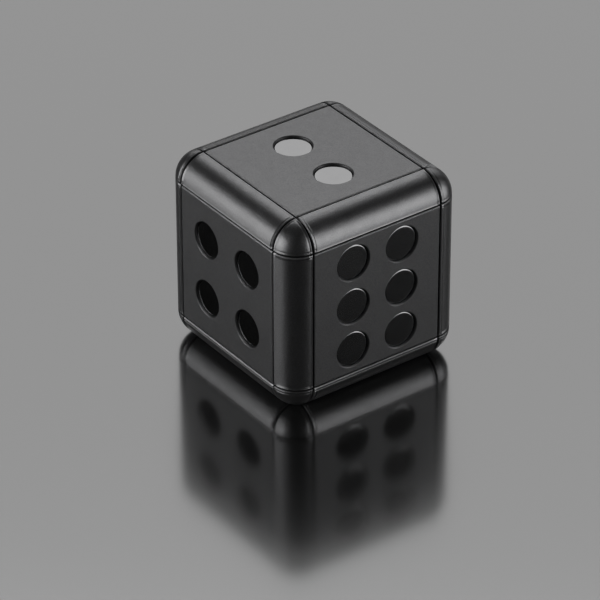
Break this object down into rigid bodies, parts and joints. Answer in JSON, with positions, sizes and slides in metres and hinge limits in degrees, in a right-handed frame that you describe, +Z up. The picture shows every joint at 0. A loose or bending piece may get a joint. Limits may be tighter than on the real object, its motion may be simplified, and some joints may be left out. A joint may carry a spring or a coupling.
{
  "type": "fidget cube",
  "caption": "Dice-shaped metal desk fidget cube: flat face plates, rounded edge bars and ball corner caps round a solid core, with every pip a sprung click button.",
  "frame": {"origin": "centre of the bottom face, on the surface that the cube stands on", "axes": "+Z up out of the two-pip face, -Y out of the six-pip face, -X out of the four-pip face"},
  "size_m": [0.033, 0.033, 0.033],
  "materials": {
    "plate_black": "bead-blasted, black anodised, satin",
    "bar_black": "bead-blasted, black anodised, satin",
    "cap_black": "bead-blasted, black anodised, satin",
    "button_nickel": "black-nickel plated, mirror polished",
    "core_black": "machined, black anodised",
    "dome_steel": "plain spring steel",
    "pin_steel": "ground"
  },
  "bodies": {
    "cube_body": {"core_block": "core_black", "edge_pins": "pin_steel", "corner_pins": "pin_steel", "face_plate_one": "plate_black", "face_plate_two": "plate_black", "face_plate_three": "plate_black", "face_plate_four": "plate_black", "face_plate_five": "plate_black", "face_plate_six": "plate_black", "dome_sheet_one": "dome_steel", "dome_sheet_two": "dome_steel", "dome_sheet_three": "dome_steel", "dome_sheet_four": "dome_steel", "dome_sheet_five": "dome_steel", "dome_sheet_six": "dome_steel", "edge_bar_back_right": "bar_black", "edge_bar_back_left": "bar_black", "edge_bar_front_left": "bar_black", "edge_bar_front_right": "bar_black", "edge_bar_bottom_back": "bar_black", "edge_bar_top_back": "bar_black", "edge_bar_top_front": "bar_black", "edge_bar_bottom_front": "bar_black", "edge_bar_bottom_right": "bar_black", "edge_bar_bottom_left": "bar_black", "edge_bar_top_left": "bar_black", "edge_bar_top_right": "bar_black", "corner_cap_top_back_right": "cap_black", "corner_cap_top_back_left": "cap_black", "corner_cap_top_front_left": "cap_black", "corner_cap_top_front_right": "cap_black", "corner_cap_bottom_front_right": "cap_black", "corner_cap_bottom_back_right": "cap_black", "corner_cap_bottom_back_left": "cap_black", "corner_cap_bottom_front_left": "cap_black"},
    "pip_one_1": {"button_one_1": "button_nickel"},
    "pip_two_1": {"button_two_1": "button_nickel"},
    "pip_two_2": {"button_two_2": "button_nickel"},
    "pip_three_1": {"button_three_1": "button_nickel"},
    "pip_three_2": {"button_three_2": "button_nickel"},
    "pip_three_3": {"button_three_3": "button_nickel"},
    "pip_four_1": {"button_four_1": "button_nickel"},
    "pip_four_2": {"button_four_2": "button_nickel"},
    "pip_four_3": {"button_four_3": "button_nickel"},
    "pip_four_4": {"button_four_4": "button_nickel"},
    "pip_five_1": {"button_five_1": "button_nickel"},
    "pip_five_2": {"button_five_2": "button_nickel"},
    "pip_five_3": {"button_five_3": "button_nickel"},
    "pip_five_4": {"button_five_4": "button_nickel"},
    "pip_five_5": {"button_five_5": "button_nickel"},
    "pip_six_1": {"button_six_1": "button_nickel"},
    "pip_six_2": {"button_six_2": "button_nickel"},
    "pip_six_3": {"button_six_3": "button_nickel"},
    "pip_six_4": {"button_six_4": "button_nickel"},
    "pip_six_5": {"button_six_5": "button_nickel"},
    "pip_six_6": {"button_six_6": "button_nickel"}
  },
  "joints": [
    {"name": "press_one_1", "type": "slide", "parent": "cube_body", "child": "pip_one_1", "axis": [0, -1, 0], "range_m": [0, 0.00045], "stiffness_N_per_m": 3000, "springref_m": -0.0003, "deforming": ["dome_sheet_one"]},
    {"name": "press_two_1", "type": "slide", "parent": "cube_body", "child": "pip_two_1", "axis": [0, 0, -1], "range_m": [0, 0.00045], "stiffness_N_per_m": 3000, "springref_m": -0.0003, "deforming": ["dome_sheet_two"]},
    {"name": "press_two_2", "type": "slide", "parent": "cube_body", "child": "pip_two_2", "axis": [0, 0, -1], "range_m": [0, 0.00045], "stiffness_N_per_m": 3000, "springref_m": -0.0003, "deforming": ["dome_sheet_two"]},
    {"name": "press_three_1", "type": "slide", "parent": "cube_body", "child": "pip_three_1", "axis": [-1, 0, 0], "range_m": [0, 0.00045], "stiffness_N_per_m": 3000, "springref_m": -0.0003, "deforming": ["dome_sheet_three"]},
    {"name": "press_three_2", "type": "slide", "parent": "cube_body", "child": "pip_three_2", "axis": [-1, 0, 0], "range_m": [0, 0.00045], "stiffness_N_per_m": 3000, "springref_m": -0.0003, "deforming": ["dome_sheet_three"]},
    {"name": "press_three_3", "type": "slide", "parent": "cube_body", "child": "pip_three_3", "axis": [-1, 0, 0], "range_m": [0, 0.00045], "stiffness_N_per_m": 3000, "springref_m": -0.0003, "deforming": ["dome_sheet_three"]},
    {"name": "press_four_1", "type": "slide", "parent": "cube_body", "child": "pip_four_1", "axis": [1, 0, 0], "range_m": [0, 0.00045], "stiffness_N_per_m": 3000, "springref_m": -0.0003, "deforming": ["dome_sheet_four"]},
    {"name": "press_four_2", "type": "slide", "parent": "cube_body", "child": "pip_four_2", "axis": [1, 0, 0], "range_m": [0, 0.00045], "stiffness_N_per_m": 3000, "springref_m": -0.0003, "deforming": ["dome_sheet_four"]},
    {"name": "press_four_3", "type": "slide", "parent": "cube_body", "child": "pip_four_3", "axis": [1, 0, 0], "range_m": [0, 0.00045], "stiffness_N_per_m": 3000, "springref_m": -0.0003, "deforming": ["dome_sheet_four"]},
    {"name": "press_four_4", "type": "slide", "parent": "cube_body", "child": "pip_four_4", "axis": [1, 0, 0], "range_m": [0, 0.00045], "stiffness_N_per_m": 3000, "springref_m": -0.0003, "deforming": ["dome_sheet_four"]},
    {"name": "press_five_1", "type": "slide", "parent": "cube_body", "child": "pip_five_1", "axis": [0, 0, 1], "range_m": [0, 0.00045], "stiffness_N_per_m": 3000, "springref_m": -0.0003, "deforming": ["dome_sheet_five"]},
    {"name": "press_five_2", "type": "slide", "parent": "cube_body", "child": "pip_five_2", "axis": [0, 0, 1], "range_m": [0, 0.00045], "stiffness_N_per_m": 3000, "springref_m": -0.0003, "deforming": ["dome_sheet_five"]},
    {"name": "press_five_3", "type": "slide", "parent": "cube_body", "child": "pip_five_3", "axis": [0, 0, 1], "range_m": [0, 0.00045], "stiffness_N_per_m": 3000, "springref_m": -0.0003, "deforming": ["dome_sheet_five"]},
    {"name": "press_five_4", "type": "slide", "parent": "cube_body", "child": "pip_five_4", "axis": [0, 0, 1], "range_m": [0, 0.00045], "stiffness_N_per_m": 3000, "springref_m": -0.0003, "deforming": ["dome_sheet_five"]},
    {"name": "press_five_5", "type": "slide", "parent": "cube_body", "child": "pip_five_5", "axis": [0, 0, 1], "range_m": [0, 0.00045], "stiffness_N_per_m": 3000, "springref_m": -0.0003, "deforming": ["dome_sheet_five"]},
    {"name": "press_six_1", "type": "slide", "parent": "cube_body", "child": "pip_six_1", "axis": [0, 1, 0], "range_m": [0, 0.00045], "stiffness_N_per_m": 3000, "springref_m": -0.0003, "deforming": ["dome_sheet_six"]},
    {"name": "press_six_2", "type": "slide", "parent": "cube_body", "child": "pip_six_2", "axis": [0, 1, 0], "range_m": [0, 0.00045], "stiffness_N_per_m": 3000, "springref_m": -0.0003, "deforming": ["dome_sheet_six"]},
    {"name": "press_six_3", "type": "slide", "parent": "cube_body", "child": "pip_six_3", "axis": [0, 1, 0], "range_m": [0, 0.00045], "stiffness_N_per_m": 3000, "springref_m": -0.0003, "deforming": ["dome_sheet_six"]},
    {"name": "press_six_4", "type": "slide", "parent": "cube_body", "child": "pip_six_4", "axis": [0, 1, 0], "range_m": [0, 0.00045], "stiffness_N_per_m": 3000, "springref_m": -0.0003, "deforming": ["dome_sheet_six"]},
    {"name": "press_six_5", "type": "slide", "parent": "cube_body", "child": "pip_six_5", "axis": [0, 1, 0], "range_m": [0, 0.00045], "stiffness_N_per_m": 3000, "springref_m": -0.0003, "deforming": ["dome_sheet_six"]},
    {"name": "press_six_6", "type": "slide", "parent": "cube_body", "child": "pip_six_6", "axis": [0, 1, 0], "range_m": [0, 0.00045], "stiffness_N_per_m": 3000, "springref_m": -0.0003, "deforming": ["dome_sheet_six"]}
  ]
}
